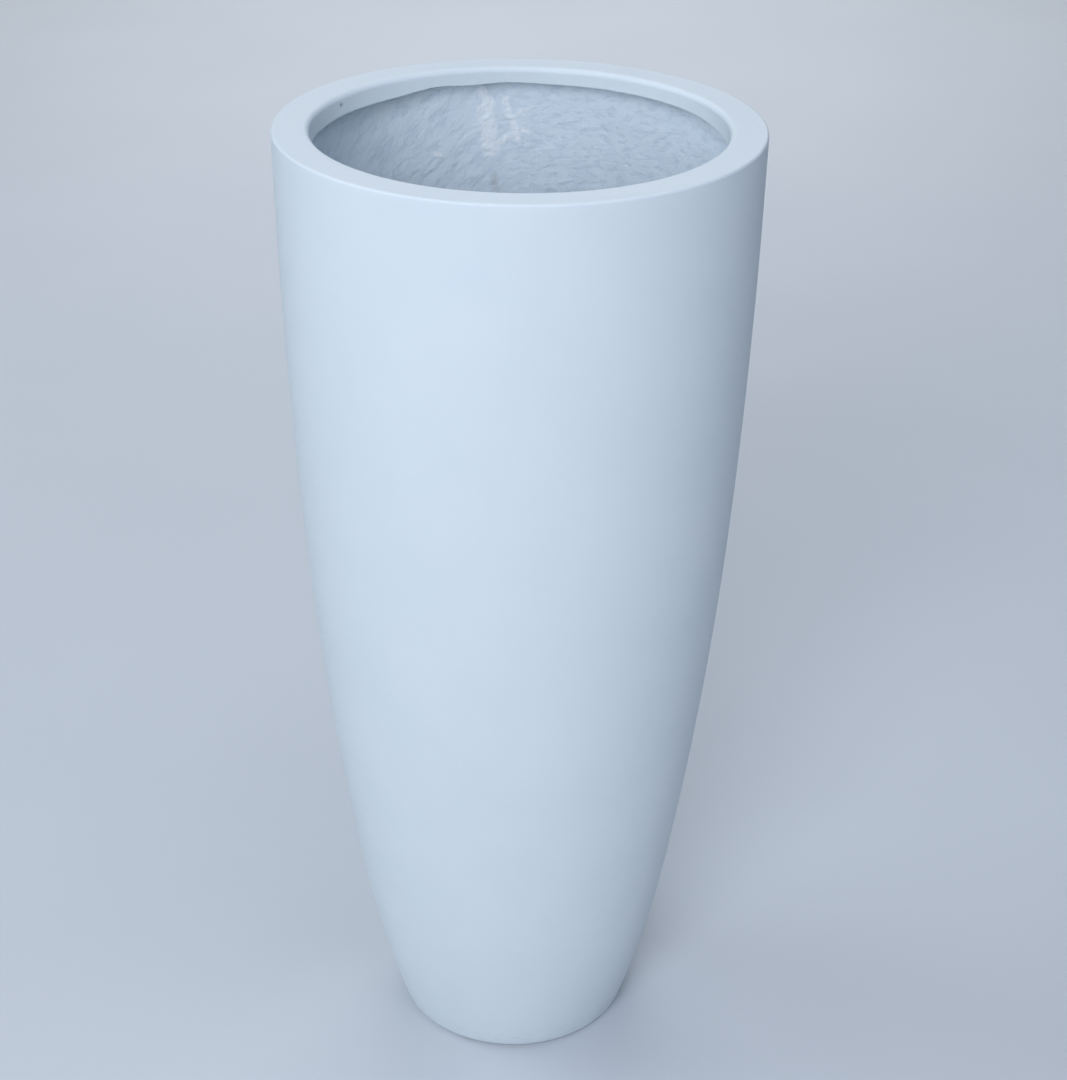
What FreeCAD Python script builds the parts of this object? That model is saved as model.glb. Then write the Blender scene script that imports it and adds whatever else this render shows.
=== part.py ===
import FreeCAD, Part
import math
import os
import Sketcher

# A tall tapering planter of hand-laid glass laminate. Its axis is +Z, the floor is z = 0,
# and the origin is the middle of the ring that it stands on. Sizes are in millimetres.

doc = FreeCAD.newDocument("planter")

drivingDims = [
    ("overallHeight", 815, "floor to the flat top of the rim"),
    ("topRadius", 190, "outside radius at the rim"),
    ("topArcCentre", 871, "height of the centre of the topmost wall arc"),
    ("topArc", 5500, "radius of the topmost wall arc, which is nearly straight"),
    ("topArcEnd", 515, "height of its lower end"),
    ("highArc", 3550, "radius of the second arc down"),
    ("highArcEnd", 375, "height of its lower end"),
    ("upperArc", 3450, "radius of the third arc down"),
    ("upperArcEnd", 255, "height of its lower end"),
    ("middleArc", 3350, "radius of the fourth arc down"),
    ("middleArcEnd", 145, "height of its lower end"),
    ("lowerArc", 1100, "radius of the fifth arc down, where the wall draws in to the foot"),
    ("lowerArcEnd", 111, "height of its lower end"),
    ("lowArc", 960, "radius of the sixth arc down"),
    ("lowArcEnd", 54, "height of its lower end"),
    ("footArc", 940, "radius of the lowest arc"),
    ("footArcEnd", 5.7, "height of its lower end, where the wall turns under in a bevel"),
    ("footFlat", 92.6, "outside radius of the flat ring that it stands on"),
    ("footOpening", 62, "inner radius of that ring"),
    ("wallThick", 5, "thickness of the wall laminate"),
    ("rimThick", 5, "thickness of the flat rim"),
    ("rimWidth", 29, "width of the flat rim, from the outside to the mouth"),
    ("rimOuterBevel", 1.5, "bevel of the rim's outer corner"),
    ("rimInnerBevel", 2.8, "bevel of the rim's inner corner"),
    ("lipThick", 4.5, "thickness of the lip that turns down round the mouth"),
    ("lipRootBevel", 3, "hidden thickening where the lip meets the rim"),
    ("lipAsMoulded", 24, "depth of the lip before it is trimmed"),
    ("baseThick", 6, "thickness of the base laminate"),
    ("baseRadius", 92.5, "radius of the base disc"),
    ("drainRadius", 11, "radius of the drain hole"),
    ("baseBeadRadius", 81, "where the base's resin bead starts on the disc"),
    ("baseBeadTop", 26, "height that its slope climbs to"),
    ("baseBeadWall", 103, "radius where the slope runs out, inside the laminate"),
    ("rimBeadReach", 8, "how far the rim's resin bead reaches under the rim and down the wall"),
    ("stemGap", 0.05, "radial gap between the plug's stem and the drain hole"),
    ("headRadius", 18, "radius of the plug's head"),
    ("headThick", 3, "thickness of the plug's head"),
    ("tabRadius", 7, "radius of the half-round top of the tab that it is pulled by"),
    ("tabHeight", 6, "height of the tab's straight part"),
    ("tabThick", 4, "thickness of the tab"),
]

# The lip was cut off by hand, so its lower edge wanders as it goes round the mouth:
# the angle from +X towards +Y in degrees, and the depth below the rim's top.
lipTrim = [
    (15, 17.5),
    (34, 14.8),
    (55, 14.2),
    (72, 14.0),
    (84, 13.8),
    (96, 13.1),
    (105, 14.4),
    (116, 13.3),
    (123, 15.2),
    (132, 16.9),
    (148, 17.6),
    (165, 18.7),
    (190, 18.2),
    (215, 17.2),
    (240, 16.2),
    (265, 15.7),
    (290, 16.0),
    (315, 16.9),
    (340, 17.8),
]
trimOverlap = 4  # how far the trimming tool passes the lip's two faces

START, END, CENTRE = 1, 2, 3  # which point of a sketch line or arc a constraint holds
origin = (-1, 1)  # the sketch's own origin
levelAxis = -1  # the sketch's own horizontal axis
uprightAxis = -2  # and its vertical one

sheet = doc.addObject("Spreadsheet::Sheet", "dims")
for row, (alias, value, meaning) in enumerate(drivingDims, start=1):
    sheet.set(f"A{row}", meaning)
    sheet.set(f"B{row}", str(value))
    sheet.setAlias(f"B{row}", alias)
doc.recompute()


def dim(alias):
    return float(sheet.get(alias))


def newBody(name):
    return doc.addObject("PartDesign::Body", name)


def newSketch(body, name, role):
    plane = [item for item in body.Origin.OriginFeatures if item.Role == role][0]
    sketch = body.newObject("Sketcher::SketchObject", name)
    sketch.AttachmentSupport = (plane, [""])
    sketch.MapMode = "FlatFace"
    return sketch


def hold(sketch, kind, *places):
    sketch.addConstraint(Sketcher.Constraint(kind, *places))


def size(sketch, name, formula, kind, *places):
    """A named dimension that follows the sheet."""
    value = float(sketch.evalExpression(formula))
    index = sketch.addConstraint(Sketcher.Constraint(kind, *places, value))
    sketch.renameConstraint(index, name)
    sketch.setExpression("Constraints." + name, formula)


def addLine(sketch, start, end):
    return sketch.addGeometry(Part.LineSegment(FreeCAD.Vector(*start, 0), FreeCAD.Vector(*end, 0)))


def addArc(sketch, centre, radius, startAngle, endAngle):
    circle = Part.Circle(FreeCAD.Vector(*centre, 0), FreeCAD.Vector(0, 0, 1), radius)
    return sketch.addGeometry(Part.ArcOfCircle(circle, startAngle, endAngle))


def addOutline(sketch, points, closed=True):
    """Joined straight lines, held level or upright where their two points are."""
    ends = points[1:] + points[:1] if closed else points[1:]
    lines = [addLine(sketch, start, end) for start, end in zip(points, ends)]
    for line, start, end in zip(lines, points, ends):
        if start[1] == end[1]:
            hold(sketch, "Horizontal", line)
        if start[0] == end[0]:
            hold(sketch, "Vertical", line)
    for line, following in zip(lines, lines[1:]):
        hold(sketch, "Coincident", line, END, following, START)
    if closed:
        hold(sketch, "Coincident", lines[-1], END, lines[0], START)
    return lines


def revolve(body, sketch):
    feature = body.newObject("PartDesign::Revolution", body.Name + "_turned")
    feature.Profile = (sketch, [""])
    feature.ReferenceAxis = (sketch, ["V_Axis"])
    feature.Angle = 360
    doc.recompute()
    return feature


def bevelEdges(body, feature, formula, circles):
    """Takes the corner off the round edges that have these radii and heights."""
    names = []
    for radius, height in circles:
        for number, edge in enumerate(feature.Shape.Edges, start=1):
            curve = edge.Curve
            if not isinstance(curve, Part.Circle):
                continue
            if abs(curve.Radius - radius) < 0.01 and abs(curve.Center.z - height) < 0.01:
                names.append(f"Edge{number}")
    if len(names) != len(circles):
        raise RuntimeError(f"{body.Name}: found {len(names)} of {len(circles)} edges to bevel")
    bevel = body.newObject("PartDesign::Chamfer", f"{body.Name}_{formula.split('.')[1]}")
    bevel.Base = (feature, names)
    bevel.setExpression("Size", formula)
    doc.recompute()
    return bevel


def boolean(kind, name, base, tool):
    result = doc.addObject(kind, name)
    result.Base = base
    result.Tool = tool
    doc.recompute()
    if result.Shape.Volume >= base.Shape.Volume - 1:
        raise RuntimeError(f"{name}: the cut took nothing away")
    return result


# The wall line. Seven arcs run tangent to each other from the rim down to the foot.
# A lean is the angle by which an arc's radius points below the level.
wallArcs = ["topArc", "highArc", "upperArc", "middleArc", "lowerArc", "lowArc", "footArc"]
shellTop = dim("overallHeight") - dim("rimThick")


def wallLine():
    """Each outside arc's centre, radius, and lean at its upper and lower end."""
    height = dim("topArcCentre")
    radius = dim("topArc")
    lean = math.asin((height - shellTop) / radius)
    centre = (dim("topRadius") - radius * math.cos(lean), height)
    line = []
    for alias in wallArcs:
        step = radius - dim(alias)
        radius = dim(alias)
        centre = (centre[0] + step * math.cos(lean), centre[1] - step * math.sin(lean))
        lowLean = math.asin((centre[1] - dim(alias + "End")) / radius)
        line.append((centre, radius, lean, lowLean))
        lean = lowLean
    return line


def wallFoot(inset):
    """Where the lowest arc ends, on the face this far inside the outside face."""
    centre, radius, lean, lowLean = wallLine()[-1]
    reach = radius - inset
    return centre[0] + reach * math.cos(lowLean), centre[1] - reach * math.sin(lowLean)


def drawWall(sketch):
    """Both faces of the wall: the outside arcs, and the inside ones about the same centres."""
    thick = dim("wallThick")
    outside = []
    inside = []
    for centre, radius, lean, lowLean in wallLine():
        outside.append(addArc(sketch, centre, radius, -lowLean, -lean))
        inside.append(addArc(sketch, centre, radius - thick, -lowLean, -lean))
    for arcs in (outside, inside):
        for arc, lower in zip(arcs, arcs[1:]):
            hold(sketch, "Tangent", lower, END, arc, START)
    for alias, outer, inner in zip(wallArcs, outside, inside):
        size(sketch, alias + "Outside", f"dims.{alias}", "Radius", outer)
        size(sketch, alias + "Inside", f"dims.{alias} - dims.wallThick", "Radius", inner)
        size(sketch, alias + "End", f"dims.{alias}End", "DistanceY", *origin, outer, START)
    hold(sketch, "Coincident", outside[0], CENTRE, inside[0], CENTRE)
    for outer, inner in zip(outside[1:], inside[1:]):
        hold(sketch, "Horizontal", outer, CENTRE, inner, CENTRE)
    size(sketch, "topRadius", "dims.topRadius", "DistanceX", *origin, outside[0], END)
    size(sketch, "shellTop", "dims.overallHeight - dims.rimThick", "DistanceY", *origin, outside[0], END)
    size(sketch, "topCentre", "dims.topArcCentre", "DistanceY", *origin, outside[0], CENTRE)
    across = addLine(sketch, wallFoot(thick), wallFoot(0))
    sketch.toggleConstruction(across)
    hold(sketch, "Coincident", across, START, inside[-1], START)
    hold(sketch, "Perpendicular", across, END, outside[-1], START)
    return outside, inside


def insideTopRadius():
    centre, radius, lean, lowLean = wallLine()[0]
    radius = radius - dim("wallThick")
    return centre[0] + math.sqrt(radius**2 - (centre[1] - shellTop) ** 2)


def makeBodyShell():
    """The moulded wall. It turns under at the foot and leaves the foot open in the middle."""
    body = newBody("body_shell")
    sketch = newSketch(body, "wall_section", "XZ_Plane")
    outside, inside = drawWall(sketch)
    thick = dim("wallThick")
    opening = dim("footOpening")
    flat = dim("footFlat")
    points = [wallFoot(0), (flat, 0), (opening, 0), (opening, thick), (flat, thick), wallFoot(thick)]
    turn, under, edge, above, corner = addOutline(sketch, points, closed=False)
    top = addLine(sketch, (insideTopRadius(), shellTop), (dim("topRadius"), shellTop))
    hold(sketch, "Horizontal", top)
    hold(sketch, "Coincident", top, START, inside[0], END)
    hold(sketch, "Coincident", top, END, outside[0], END)
    hold(sketch, "Coincident", turn, START, outside[-1], START)
    hold(sketch, "Coincident", corner, END, inside[-1], START)
    hold(sketch, "PointOnObject", under, END, levelAxis)
    hold(sketch, "Vertical", under, START, above, END)
    size(sketch, "footFlat", "dims.footFlat", "DistanceX", *origin, under, START)
    size(sketch, "footOpening", "dims.footOpening", "DistanceX", *origin, under, END)
    size(sketch, "footThick", "dims.wallThick", "DistanceY", edge, START, edge, END)
    revolve(body, sketch)
    return body


def makeInsideForm():
    """The room inside the wall, which the resin beads are cut to."""
    body = newBody("inside_form")
    sketch = newSketch(body, "inside_section", "XZ_Plane")
    outside, inside = drawWall(sketch)
    for arc in outside:
        sketch.toggleConstruction(arc)
    thick = dim("wallThick")
    flat = dim("footFlat")
    points = [wallFoot(thick), (flat, thick), (0, thick), (0, shellTop), (insideTopRadius(), shellTop)]
    corner, floor, axis, top = addOutline(sketch, points, closed=False)
    hold(sketch, "Coincident", corner, START, inside[-1], START)
    hold(sketch, "Coincident", top, END, inside[0], END)
    hold(sketch, "PointOnObject", floor, END, uprightAxis)
    size(sketch, "footFlat", "dims.footFlat", "DistanceX", *origin, floor, START)
    size(sketch, "floorLevel", "dims.wallThick", "DistanceY", *origin, floor, END)
    size(sketch, "insideTop", "dims.overallHeight - dims.rimThick", "DistanceY", *origin, top, START)
    revolve(body, sketch)
    return body


def makeRimRing():
    """The flat rim and its down-turned lip, which lies inside the mouth and hides its own back."""
    top = dim("overallHeight")
    outer = dim("topRadius")
    mouth = outer - dim("rimWidth")
    back = mouth + dim("lipThick")
    under = top - dim("rimThick")
    low = top - dim("lipAsMoulded")
    body = newBody("rim_moulding")
    sketch = newSketch(body, "rim_section", "XZ_Plane")
    corners = [(mouth, low), (mouth, top), (outer, top), (outer, under), (back, under), (back, low)]
    face, flat, edge, underside, hidden, tip = addOutline(sketch, corners)
    size(sketch, "mouthRadius", "dims.topRadius - dims.rimWidth", "DistanceX", *origin, face, START)
    size(sketch, "topRadius", "dims.topRadius", "DistanceX", *origin, edge, START)
    size(sketch, "lipBack", "dims.lipThick", "DistanceX", tip, END, tip, START)
    size(sketch, "rimTop", "dims.overallHeight", "DistanceY", *origin, flat, START)
    size(sketch, "rimThick", "dims.rimThick", "DistanceY", edge, END, edge, START)
    size(sketch, "lipDepth", "dims.lipAsMoulded", "DistanceY", face, START, face, END)
    feature = revolve(body, sketch)
    feature = bevelEdges(body, feature, "dims.rimOuterBevel", [(outer, top)])
    feature = bevelEdges(body, feature, "dims.rimInnerBevel", [(mouth, top)])
    bevelEdges(body, feature, "dims.lipRootBevel", [(back, under)])

    saw = doc.addObject("Part::Feature", "lip_trim_tool")
    edges = []
    for radius in (mouth - trimOverlap, back + trimOverlap):
        points = []
        for angle, depth in lipTrim:
            turn = math.radians(angle)
            points.append(FreeCAD.Vector(radius * math.cos(turn), radius * math.sin(turn), top - depth))
        curve = Part.BSplineCurve()
        curve.interpolate(Points=points, PeriodicFlag=True)
        edges.append(curve.toShape())
    cutFace = Part.makeRuledSurface(*edges)
    saw.Shape = cutFace.extrude(FreeCAD.Vector(0, 0, -dim("lipAsMoulded")))
    return boolean("Part::Cut", "rim_ring", body, saw)


def makeBaseDisc():
    """The laminate disc that closes the foot, with the drain hole in its middle."""
    body = newBody("base_disc")
    sketch = newSketch(body, "base_outline", "XY_Plane")
    sketch.setExpression("AttachmentOffset.Base.z", "dims.wallThick")
    for name in ("baseRadius", "drainRadius"):
        circle = Part.Circle(FreeCAD.Vector(0, 0, 0), FreeCAD.Vector(0, 0, 1), dim(name))
        index = sketch.addGeometry(circle)
        hold(sketch, "Coincident", index, CENTRE, *origin)
        size(sketch, name, "dims." + name, "Radius", index)
    pad = body.newObject("PartDesign::Pad", "base_laminate")
    pad.Profile = (sketch, [""])
    pad.setExpression("Length", "dims.baseThick")
    doc.recompute()
    return body


def makeBaseBond(insideForm):
    """The resin bead that bonds the base disc into the wall, all the way round."""
    floor = dim("wallThick") + dim("baseThick")
    top = dim("baseBeadTop")
    wide = dim("topRadius")
    wall = dim("baseBeadWall")
    body = newBody("base_bead_blank")
    sketch = newSketch(body, "base_bead_section", "XZ_Plane")
    points = [(dim("baseBeadRadius"), floor), (wide, floor), (wide, top), (wall, top)]
    under, outer, over, slope = addOutline(sketch, points)
    size(sketch, "beadStart", "dims.baseBeadRadius", "DistanceX", *origin, under, START)
    size(sketch, "beadFloor", "dims.wallThick + dims.baseThick", "DistanceY", *origin, under, START)
    size(sketch, "blankRadius", "dims.topRadius", "DistanceX", *origin, under, END)
    size(sketch, "beadTop", "dims.baseBeadTop", "DistanceY", *origin, outer, END)
    size(sketch, "beadWall", "dims.baseBeadWall", "DistanceX", *origin, over, END)
    revolve(body, sketch)
    return boolean("Part::Common", "base_bond", body, insideForm)


def makeRimBond(insideForm):
    """The resin bead in the hidden corner between the wall and the underside of the rim."""
    reach = dim("rimBeadReach")
    wall = dim("topRadius") - dim("wallThick")
    low = shellTop - reach
    wide = dim("topRadius")
    body = newBody("rim_bead_blank")
    sketch = newSketch(body, "rim_bead_section", "XZ_Plane")
    points = [(wall - reach, shellTop), (wide, shellTop), (wide, low), (wall, low)]
    over, outer, under, slope = addOutline(sketch, points)
    size(sketch, "beadTop", "dims.overallHeight - dims.rimThick", "DistanceY", *origin, over, START)
    size(sketch, "beadDrop", "dims.rimBeadReach", "DistanceY", outer, END, outer, START)
    size(sketch, "blankRadius", "dims.topRadius", "DistanceX", *origin, outer, START)
    size(sketch, "beadReach", "dims.rimBeadReach", "DistanceX", over, START, under, END)
    size(sketch, "beadWall", "dims.topRadius - dims.wallThick", "DistanceX", *origin, under, END)
    revolve(body, sketch)
    return boolean("Part::Common", "rim_bond", body, insideForm)


def makeDrainPlug():
    """A rubber plug: a stem, a head that rests on the base, and a half-round tab to pull it by."""
    low = dim("wallThick")
    seat = low + dim("baseThick")
    stem = dim("drainRadius") - dim("stemGap")
    head = dim("headRadius")
    headTop = seat + dim("headThick")
    tab = dim("tabRadius")
    shoulder = headTop + dim("tabHeight")
    body = newBody("drain_plug")
    sketch = newSketch(body, "plug_section", "XZ_Plane")
    points = [(0, low), (stem, low), (stem, seat), (head, seat), (head, headTop), (0, headTop)]
    foot, stemLine, seatLine, headEdge, crown, axis = addOutline(sketch, points)
    hold(sketch, "PointOnObject", foot, START, uprightAxis)
    size(sketch, "plugFoot", "dims.wallThick", "DistanceY", *origin, foot, START)
    size(sketch, "stemRadius", "dims.drainRadius - dims.stemGap", "DistanceX", *origin, foot, END)
    size(sketch, "stemLength", "dims.baseThick", "DistanceY", stemLine, START, stemLine, END)
    size(sketch, "headRadius", "dims.headRadius", "DistanceX", *origin, seatLine, END)
    size(sketch, "headThick", "dims.headThick", "DistanceY", headEdge, START, headEdge, END)
    revolve(body, sketch)

    outline = newSketch(body, "tab_outline", "XZ_Plane")
    points = [(-tab, shoulder), (-tab, headTop), (tab, headTop), (tab, shoulder)]
    left, root, right = addOutline(outline, points, closed=False)
    top = addArc(outline, (0, shoulder), tab, 0, math.pi)
    hold(outline, "Tangent", right, END, top, START)
    hold(outline, "Tangent", top, END, left, START)
    hold(outline, "PointOnObject", top, CENTRE, uprightAxis)
    size(outline, "tabRadius", "dims.tabRadius", "Radius", top)
    size(outline, "tabHeight", "dims.tabHeight", "DistanceY", right, START, right, END)
    rootLevel = "dims.wallThick + dims.baseThick + dims.headThick"
    size(outline, "tabRoot", rootLevel, "DistanceY", *origin, root, START)
    pad = body.newObject("PartDesign::Pad", "tab")
    pad.Profile = (outline, [""])
    pad.Midplane = True
    pad.setExpression("Length", "dims.tabThick")
    doc.recompute()
    return body


bodyShell = makeBodyShell()
insideForm = makeInsideForm()
rimRing = makeRimRing()
baseDisc = makeBaseDisc()
baseBond = makeBaseBond(insideForm)
rimBond = makeRimBond(insideForm)
drainPlug = makeDrainPlug()
doc.recompute()

subParts = [bodyShell, rimRing, rimBond, baseDisc, baseBond, drainPlug]

for item in doc.Objects:
    if "Invalid" in item.State or "Error" in item.State:
        raise RuntimeError(f"{item.Name} failed: {item.State}")
for item in subParts:
    shape = item.Shape
    if shape.isNull() or not shape.isValid() or len(shape.Solids) != 1:
        raise RuntimeError(f"{item.Label} is not one sound solid")

os.makedirs("parts", exist_ok=True)
for item in subParts:
    item.Shape.exportStep(f"parts/{item.Label}.step")
    box = item.Shape.BoundBox
    print(f"{item.Label}: {item.Shape.Volume / 1000:.1f} cm3, z {box.ZMin:.2f} to {box.ZMax:.2f}")
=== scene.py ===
import math

import bmesh
import bpy
from mathutils import Matrix, Vector, noise


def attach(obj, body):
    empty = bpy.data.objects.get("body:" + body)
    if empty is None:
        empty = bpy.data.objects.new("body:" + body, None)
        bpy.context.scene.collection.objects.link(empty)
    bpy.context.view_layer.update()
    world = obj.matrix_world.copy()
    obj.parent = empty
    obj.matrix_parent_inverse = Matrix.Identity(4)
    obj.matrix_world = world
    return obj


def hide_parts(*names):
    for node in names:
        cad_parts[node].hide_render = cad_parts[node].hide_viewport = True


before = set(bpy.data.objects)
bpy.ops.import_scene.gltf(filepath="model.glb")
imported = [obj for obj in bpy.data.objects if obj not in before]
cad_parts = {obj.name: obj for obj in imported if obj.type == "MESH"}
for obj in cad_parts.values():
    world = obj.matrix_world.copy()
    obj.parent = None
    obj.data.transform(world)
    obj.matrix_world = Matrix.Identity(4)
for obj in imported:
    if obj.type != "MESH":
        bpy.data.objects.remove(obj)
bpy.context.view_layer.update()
print("planter frame loaded")

mm = 0.001

# outside radius of the wall at each height, and the laminate's thickness, in mm
wallLine = [(0, 98.41), (20, 104.91), (45, 112.34), (75, 120.28), (110, 128.25), (150, 135.81), (200, 144.06),
            (300, 158.25), (400, 169.47), (500, 177.8), (600, 183.66), (700, 187.68), (810, 190.0)]
wallThick = 5


def slopeAt(table, place):
    # slope of the smooth line through the table at one of its points
    last = len(table) - 1
    before = max(place - 1, 0)
    after = min(place + 1, last)
    tiny = 1e-9  # the first and the last point have no neighbour on one side
    stepBefore = max(table[place][0] - table[before][0], tiny)
    stepAfter = max(table[after][0] - table[place][0], tiny)
    riseBefore = (table[place][1] - table[before][1]) / stepBefore
    riseAfter = (table[after][1] - table[place][1]) / stepAfter
    if place == 0:
        return riseAfter
    if place == last:
        return riseBefore
    return (stepBefore * riseAfter + stepAfter * riseBefore) / (stepBefore + stepAfter)


def smoothBetween(table, at):
    # value of the smooth line through the table's pairs
    place = min(max(sum(pair[0] <= at for pair in table), 1), len(table) - 1)
    (lowAt, low), (highAt, high) = table[place - 1], table[place]
    width = highAt - lowAt
    part = (at - lowAt) / width
    start = slopeAt(table, place - 1) * width
    end = slopeAt(table, place) * width
    square, cube = part ** 2, part ** 3
    return ((2 * cube - 3 * square + 1) * low + (cube - 2 * square + part) * start
            + (3 * square - 2 * cube) * high + (cube - square) * end)


def fade(low, high, value):
    # 0 at low, 1 at high, soft at both ends
    part = min(max((value - low) / (high - low), 0), 1)
    return part * part * (3 - 2 * part)


def fadeBoth(stops, at):
    # comes in between the first two stops and dies out between the last two: stops in mm, at in metres
    return fade(stops[0], stops[1], at / mm) * fade(stops[3], stops[2], at / mm)


def outsideRadius(height):
    return smoothBetween(wallLine, height)


def insideRadius(height):
    lean = (outsideRadius(height + 1) - outsideRadius(height - 1)) / 2
    return outsideRadius(height) - wallThick * math.sqrt(1 + lean ** 2)


def corner(centre, radius, start, end, count):
    # points round a rounded corner of the section, angles in degrees
    points = []
    for step in range(count + 1):
        angle = math.radians(start + (end - start) * step / count)
        points.append((centre[0] + radius * math.cos(angle), centre[1] + radius * math.sin(angle)))
    return points


def bentCorner(start, middle, end, count=8):
    # points of a soft corner that starts at start, heads for middle and comes out at end
    points = []
    for step in range(count + 1):
        part = step / count
        points.append(tuple((1 - part) ** 2 * a + 2 * part * (1 - part) * b + part ** 2 * c
                            for a, b, c in zip(start, middle, end)))
    return points


def evenly(start, end, count):
    # values in equal steps from start to end, start left out
    return [start + (end - start) * step / count for step in range(1, count + 1)]


def straight(start, end, spacing):
    # points from start to end, start left out
    count = max(1, round(math.dist(start, end) / spacing))
    return list(zip(evenly(start[0], end[0], count), evenly(start[1], end[1], count)))


def turnSection(name, section, steps):
    # one point is drawn out along the section, radius and height in mm, and the line is spun round the axis
    bpy.ops.object.select_all(action="DESELECT")
    radius, height = section[0]
    bpy.ops.mesh.primitive_plane_add(size=mm, location=(radius * mm, 0, height * mm))
    piece = bpy.context.object
    piece.name = name
    piece.data.name = name
    bpy.ops.object.transform_apply(location=True, rotation=True, scale=True)
    bpy.ops.object.mode_set(mode="EDIT")
    bpy.ops.mesh.select_mode(type="VERT")
    bpy.ops.mesh.select_all(action="SELECT")
    bpy.ops.mesh.merge(type="CENTER")
    for (fromRadius, fromHeight), (toRadius, toHeight) in zip(section, section[1:]):
        step = ((toRadius - fromRadius) * mm, 0, (toHeight - fromHeight) * mm)
        bpy.ops.mesh.extrude_vertices_move(TRANSFORM_OT_translate={"value": step})
    bpy.ops.mesh.select_all(action="SELECT")
    bpy.ops.mesh.spin(steps=steps, angle=2 * math.pi, center=(0, 0, 0), axis=(0, 0, 1))
    bpy.ops.mesh.select_all(action="SELECT")
    seam = 0.02 * mm  # points closer than this are one point
    bpy.ops.mesh.remove_doubles(threshold=seam)
    bpy.ops.mesh.normals_make_consistent(inside=False)
    bpy.ops.object.mode_set(mode="OBJECT")
    return piece


def pickFaces(piece, wanted):
    # selects the faces whose middle and normal suit, in edit mode
    mesh = bmesh.from_edit_mesh(piece.data)
    bpy.ops.mesh.select_mode(type="FACE")
    bpy.ops.mesh.select_all(action="DESELECT")
    for face in mesh.faces:
        face.select = wanted(face.calc_center_median(), face.normal)
    bmesh.update_edit_mesh(piece.data)


def weigh(piece, groupName, weightAt, least=0.001):
    # a vertex group whose weight comes from each point's place and normal
    group = piece.vertex_groups.new(name=groupName)
    for vertex in piece.data.vertices:
        weight = weightAt(vertex.co, vertex.normal)
        if weight > least:
            group.add([vertex.index], weight, "REPLACE")


def relief(piece, name, height, size, group, middle=0.5, depth=1, stretch=None, turn=(0, 0, 0)):
    # real unevenness where the group has weight: height and size in mm, stretched along one way if stretch is given
    lumps = bpy.data.textures.new(name, "CLOUDS")
    lumps.noise_scale = 1.0 if stretch else size * mm
    lumps.noise_depth = depth
    push = piece.modifiers.new(name, "DISPLACE")
    push.texture = lumps
    push.strength = height * mm
    push.mid_level = middle
    push.vertex_group = group
    push.texture_coords = "LOCAL"
    guide = None
    if stretch:
        guide = bpy.data.objects.new(name + "Guide", None)
        bpy.context.scene.collection.objects.link(guide)
        guide.rotation_euler = [math.radians(angle) for angle in turn]
        guide.scale = [size * factor * mm for factor in stretch]
        push.texture_coords = "OBJECT"
        push.texture_coords_object = guide
    bpy.context.view_layer.objects.active = piece
    bpy.ops.object.modifier_apply(modifier=push.name)
    if guide:
        bpy.data.objects.remove(guide)
    bpy.data.textures.remove(lumps)


def smoothShade(piece, sharpFrom=38):
    # edges that turn by more degrees than sharpFrom stay crisp
    bpy.ops.object.select_all(action="DESELECT")
    piece.select_set(True)
    bpy.context.view_layer.objects.active = piece
    bpy.ops.object.shade_smooth_by_angle(angle=math.radians(sharpFrom))


def layOut(piece, flat=False, sheetRadius=0.18):
    # a map of the laminate sheet in metres: round the wall, as if it had one radius, and up, or across the base
    sheet = piece.data.uv_layers.new(name="sheet")
    for face in piece.data.polygons:
        middle = math.atan2(face.center.x, face.center.y)
        for loop in face.loop_indices:
            spot = piece.data.vertices[piece.data.loops[loop].vertex_index].co
            if flat:
                sheet.data[loop].uv = (spot.x, spot.y)
                continue
            angle = math.atan2(spot.x, spot.y)
            if angle - middle > math.pi:
                angle -= 2 * math.pi
            if middle - angle > math.pi:
                angle += 2 * math.pi
            sheet.data[loop].uv = (angle * sheetRadius, spot.z)


def linear(hexColour):
    # an sRGB hex colour made linear, as the shader wants it
    parts = [int(hexColour[place:place + 2], 16) / 255 for place in (1, 3, 5)]
    return [part / 12.92 if part <= 0.04045 else ((part + 0.055) / 1.055) ** 2.4 for part in parts] + [1]


def addNode(tree, kind, settings, inputs):
    # one node, its settings, and its sockets: a socket is linked, anything else is its value
    node = tree.nodes.new(kind)
    for name, value in settings.items():
        setattr(node, name, value)
    for name, value in inputs.items():
        if isinstance(value, bpy.types.NodeSocket):
            tree.links.new(value, node.inputs[name])
        else:
            node.inputs[name].default_value = value
    return node


def startMaterial(name):
    # an empty material, with its shader and the point in the piece that it is worked out for
    material = bpy.data.materials.new(name)
    material.use_nodes = True
    tree = material.node_tree
    tree.nodes.clear()
    shader = addNode(tree, "ShaderNodeBsdfPrincipled", {}, {})
    addNode(tree, "ShaderNodeOutputMaterial", {}, {"Surface": shader.outputs[0]})
    place = addNode(tree, "ShaderNodeTexCoord", {}, {})
    return material, tree, shader, place.outputs["Object"]


def endMaterial(tree, shader, colour, rough, normal):
    for name, value in {"Base Color": colour, "Roughness": rough, "Normal": normal}.items():
        tree.links.new(value, shader.inputs[name])


def noiseOf(tree, vector, size, detail, rough=0.5, bend=0.0):
    # noise whose lumps are size mm across
    return addNode(tree, "ShaderNodeTexNoise", {},
                   {"Vector": vector, "Scale": 1 / (size * mm), "Detail": detail, "Roughness": rough,
                    "Distortion": bend}).outputs[0]


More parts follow.
